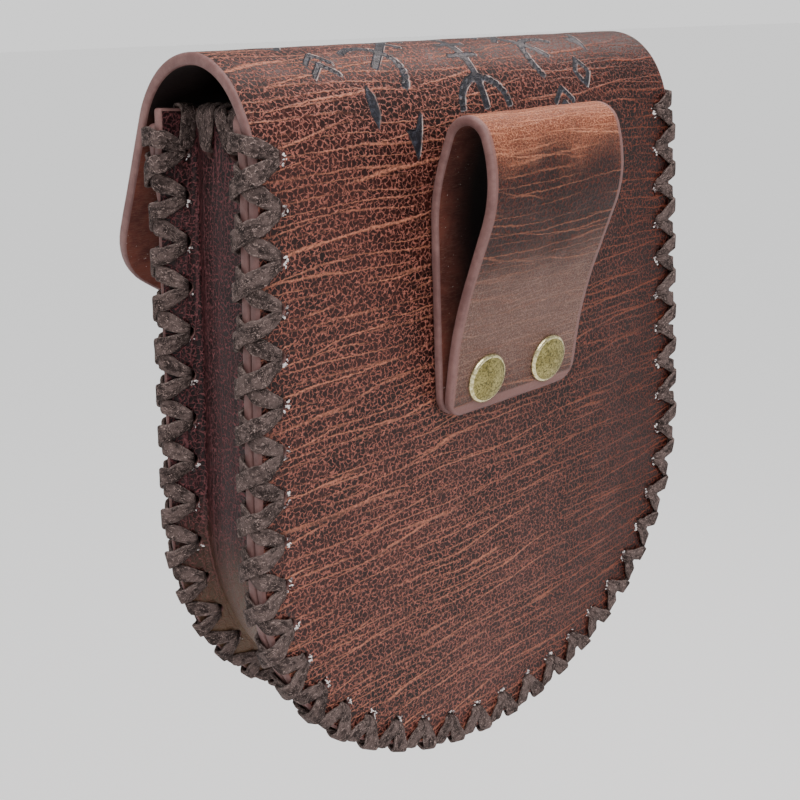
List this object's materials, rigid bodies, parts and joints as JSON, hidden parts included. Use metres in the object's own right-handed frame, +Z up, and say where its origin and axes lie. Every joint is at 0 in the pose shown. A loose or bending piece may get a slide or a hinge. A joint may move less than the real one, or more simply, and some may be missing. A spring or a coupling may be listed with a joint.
{
  "type": "belt pouch",
  "caption": "Leather belt pouch with a rounded foot, a gusset, cross-laced seams, a flap that folds over the top and a riveted belt loop on its back.",
  "frame": {"origin": "underside of the belt loop's top bend, in the middle of its width, where the belt carries the pouch", "axes": "+Z up; +Y out of the back of the pouch, towards the wearer; the flap faces -Y; +X to the right seen from the front"},
  "size_m": [0.154, 0.0896, 0.1758],
  "materials": {
    "body_leather": "antiqued reddish-brown leather, smooth with fine cracks, satin",
    "gusset_leather": "dark purplish brown leather with fine light creases, satin",
    "strap_leather": "orange-brown wrinkled leather, darker where it was handled",
    "lace": "flat suede lace, near black, matte and fibrous",
    "brass": "aged brass, dull and grainy with a bright rim"
  },
  "bodies": {
    "root": {"back_and_flap": "body_leather", "front_panel": "body_leather", "gusset": "gusset_leather", "belt_loop": "strap_leather", "rivet_left": "brass", "rivet_right": "brass", "lace_back_first": "lace", "lace_back_second": "lace", "lace_front_first": "lace", "lace_front_second": "lace", "lace_gusset_left": "lace", "lace_gusset_right": "lace"}
  },
  "joints": []
}
